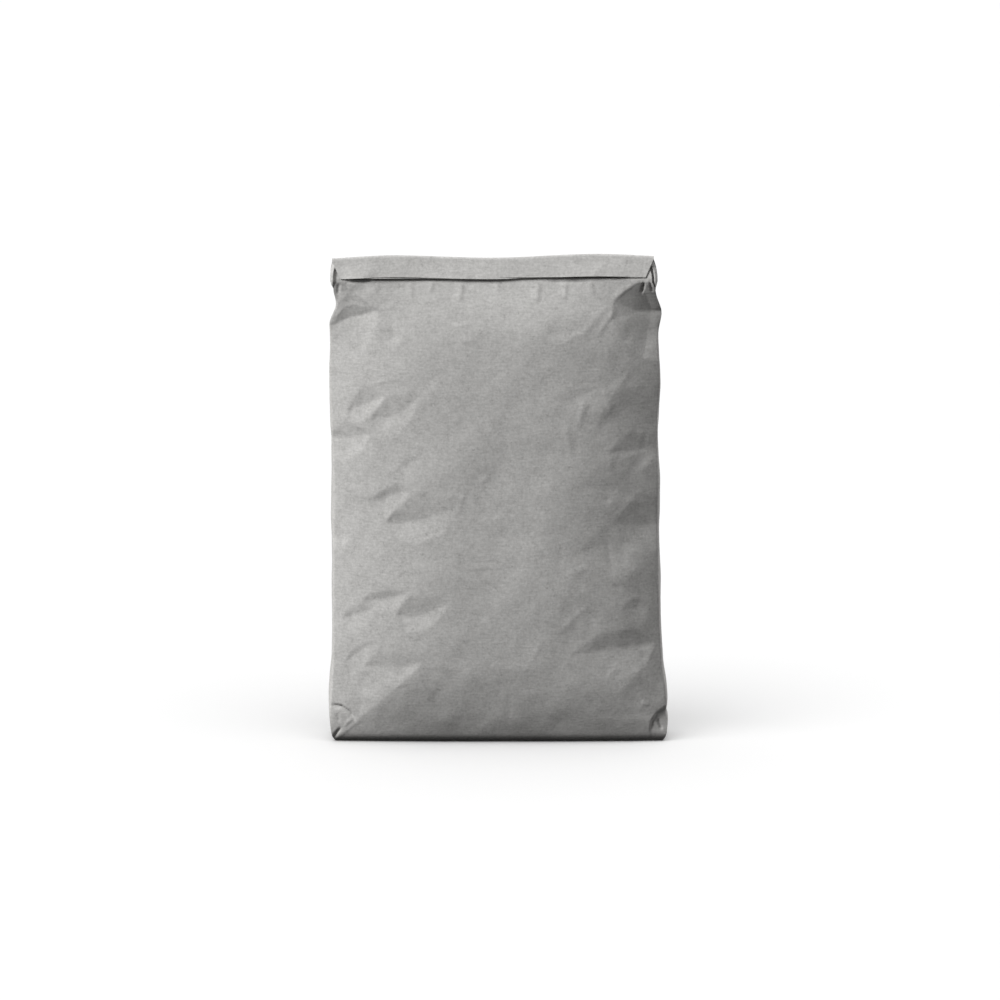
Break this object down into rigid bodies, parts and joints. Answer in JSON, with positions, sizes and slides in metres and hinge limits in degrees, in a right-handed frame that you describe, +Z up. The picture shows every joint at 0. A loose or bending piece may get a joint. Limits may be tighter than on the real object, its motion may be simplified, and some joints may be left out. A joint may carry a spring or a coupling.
{
  "type": "cement bag",
  "caption": "Full paper cement sack standing upright on its flat bottom, with its closed top folded over to the front.",
  "frame": {"origin": "on the floor, at the middle of the sack's bounding box", "axes": "+Z up the standing sack from its bottom to its fold; the front, which the folded strip hangs over, faces -Y; +X to the right when the front is seen"},
  "size_m": [0.3954, 0.1263, 0.5685],
  "materials": {
    "sack_paper": "uncoated grey kraft paper, creased, matt"
  },
  "bodies": {
    "root": {"paper_sack": "sack_paper"}
  },
  "joints": []
}
